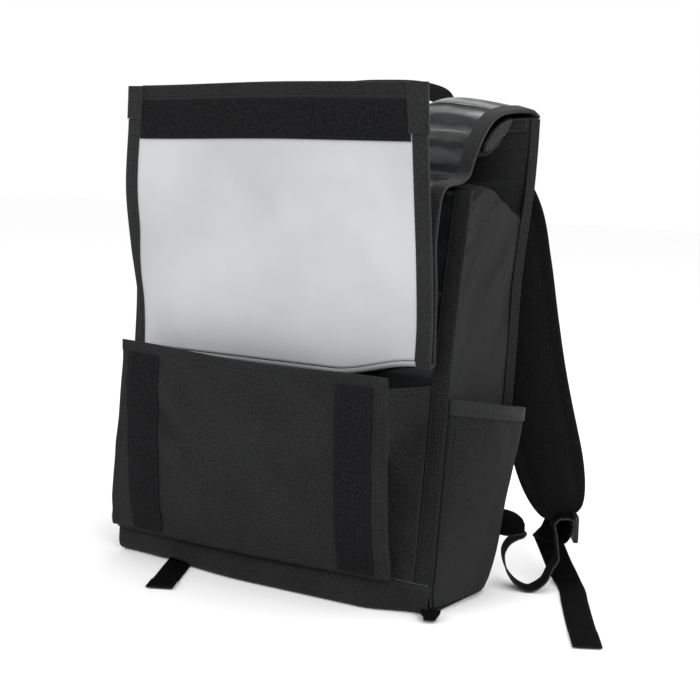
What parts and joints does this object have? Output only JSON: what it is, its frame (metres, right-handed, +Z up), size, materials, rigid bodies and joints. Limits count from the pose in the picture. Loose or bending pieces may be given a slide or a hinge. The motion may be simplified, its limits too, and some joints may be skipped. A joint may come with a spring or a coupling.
{
  "type": "roll-top backpack",
  "caption": "Upright roll-top backpack with a long cover sheet folded down its front into an open pocket, side pockets, padded shoulder straps and webbing tails.",
  "frame": {"origin": "on the flat bottom, midway across the bag", "axes": "+Z up, the front with the pocket faces -Y, +X is the right side seen from the front"},
  "size_m": [0.6024, 0.3023, 0.4912],
  "materials": {
    "nylon": "coated plain weave",
    "webbing": "woven tape",
    "rubber": "satin with worn bands",
    "vinyl": "smooth satin coating",
    "fastener": "hook and loop pile",
    "plastic": "moulded satin"
  },
  "bodies": {
    "root": {"back_panel": "nylon", "back_webbing_left": "webbing", "back_webbing_right": "webbing", "bottom_panel": "nylon", "corner_tab": "webbing", "cover_binding_left": "webbing", "cover_binding_right": "webbing", "cover_sheet": "rubber", "flap_binding_left": "webbing", "flap_binding_right": "webbing", "flap_hem": "nylon", "flap_tab_left": "webbing", "flap_tab_right": "webbing", "front_flap": "vinyl", "front_panel": "rubber", "front_webbing_left": "webbing", "front_webbing_right": "webbing", "grab_handle": "webbing", "gusset_hem_left": "webbing", "gusset_hem_right": "webbing", "hook_strip_left": "fastener", "hook_strip_right": "fastener", "loop_strip": "fastener", "lower_webbing_left": "webbing", "lower_webbing_right": "webbing", "pocket_face": "nylon", "pocket_floor": "nylon", "pocket_pleat_left": "nylon", "pocket_pleat_right": "nylon", "shoulder_strap_left": "nylon", "shoulder_strap_right": "nylon", "side_panel_left": "nylon", "side_panel_right": "nylon", "side_pocket_hem_left": "webbing", "side_pocket_hem_right": "webbing", "side_pocket_left": "nylon", "side_pocket_right": "nylon", "strap_buckle_left": "plastic", "strap_buckle_right": "plastic", "strap_tail_left": "webbing", "strap_tail_right": "webbing"}
  },
  "joints": []
}
